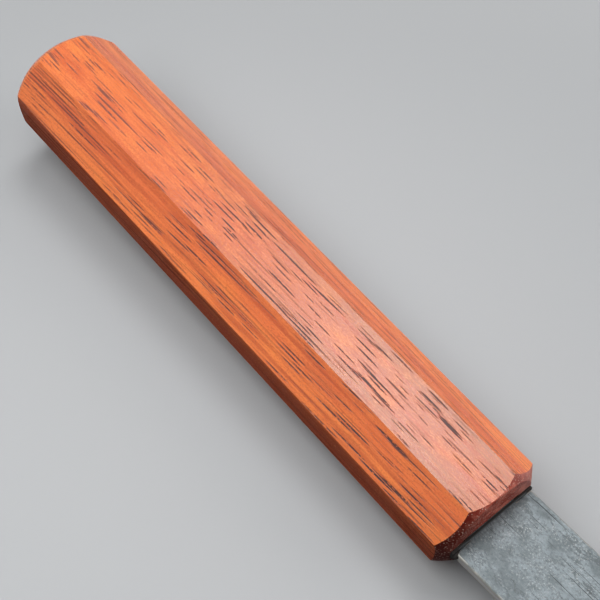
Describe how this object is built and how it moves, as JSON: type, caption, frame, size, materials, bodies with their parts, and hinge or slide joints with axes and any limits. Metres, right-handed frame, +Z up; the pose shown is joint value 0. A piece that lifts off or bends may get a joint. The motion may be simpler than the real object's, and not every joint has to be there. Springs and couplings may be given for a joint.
{
  "type": "nakiri knife",
  "caption": "Vegetable knife with a straight-edged, square-tipped laminated blade, bedded by a hidden tang in a slim eight-sided hardwood handle.",
  "frame": {"origin": "below the middle of the knife's length and width, on the plane of its lowest point, which is the underside of the handle at the butt", "axes": "+X along the knife from butt to tip, +Y across the blade from the cutting edge to the spine, +Z up out of the blade's side, with the knife on its side"},
  "size_m": [0.316, 0.0548, 0.0209],
  "materials": {
    "handle_wood": "oiled satin hardwood, orange-red with dark open pores along the grain",
    "core_steel": "ground hard steel, bare at the cutting edge",
    "upper_iron": "dark grey forge scale, with a ground bevel",
    "lower_iron": "dark grey forge scale, with a ground bevel",
    "tang_resin": "black set resin"
  },
  "bodies": {
    "root": {"handle": "handle_wood", "blade_core": "core_steel", "upper_cladding": "upper_iron", "lower_cladding": "lower_iron", "tang_resin_bed": "tang_resin"}
  },
  "joints": []
}
